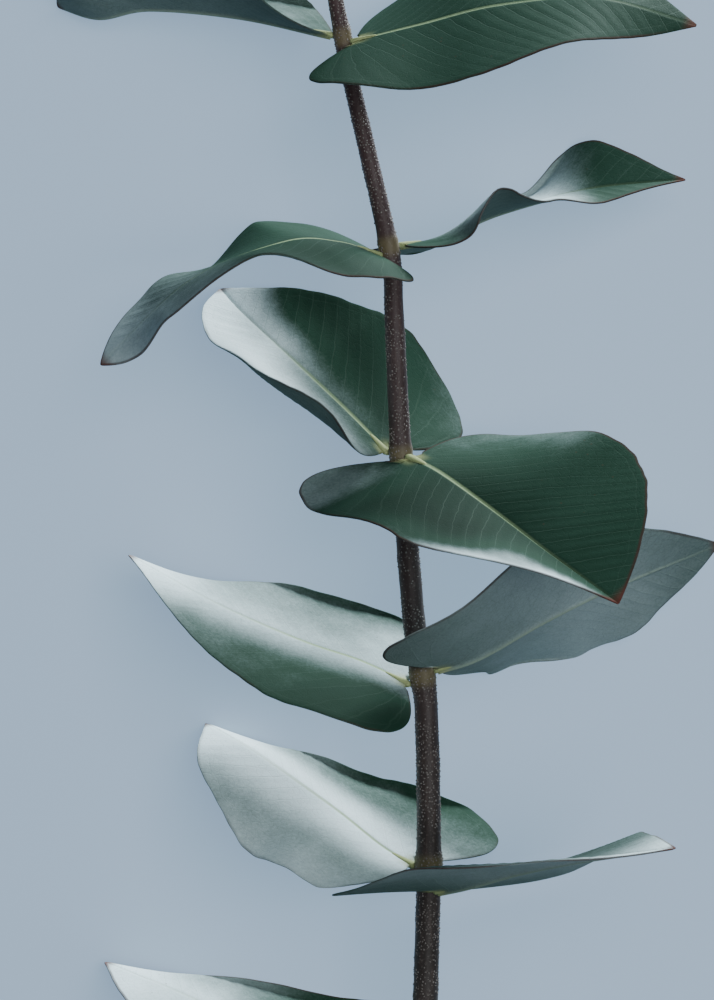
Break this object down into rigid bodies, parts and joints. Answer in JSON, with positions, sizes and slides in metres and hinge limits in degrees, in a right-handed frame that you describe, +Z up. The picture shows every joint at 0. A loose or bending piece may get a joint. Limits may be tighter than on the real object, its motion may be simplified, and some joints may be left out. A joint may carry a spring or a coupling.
{
  "type": "eucalyptus branch",
  "caption": "Cut branch of silver dollar eucalyptus lying down, with paired round waxy leaves that clasp a thin brown stem and grow smaller towards a folded tip bud.",
  "frame": {"origin": "on the table, under the middle of the branch's box", "axes": "+Y along the stem from the cut end to the growing tip, +Z up from the table, +X to the right as seen in the picture"},
  "size_m": [0.1144, 0.3516, 0.0637],
  "materials": {
    "leaf": "waxy and matt, with a pale bloom",
    "stem": "thin bark, rough with tiny glands",
    "bud": "waxy and matt"
  },
  "bodies": {
    "root": {"stem": "stem", "leaf_1_left": "leaf", "leaf_1_right": "leaf", "leaf_2_left": "leaf", "leaf_2_right": "leaf", "leaf_3_left": "leaf", "leaf_3_right": "leaf", "leaf_4_left": "leaf", "leaf_4_right": "leaf", "leaf_5_left": "leaf", "leaf_5_right": "leaf", "leaf_6_left": "leaf", "leaf_6_right": "leaf", "leaf_7_left": "leaf", "leaf_7_right": "leaf", "leaf_8_left": "leaf", "leaf_8_right": "leaf", "leaf_9_left": "leaf", "leaf_9_right": "leaf", "leaf_10_left": "leaf", "leaf_10_right": "leaf", "leaf_11_left": "leaf", "leaf_11_right": "leaf", "tip_bud": "bud"}
  },
  "joints": []
}
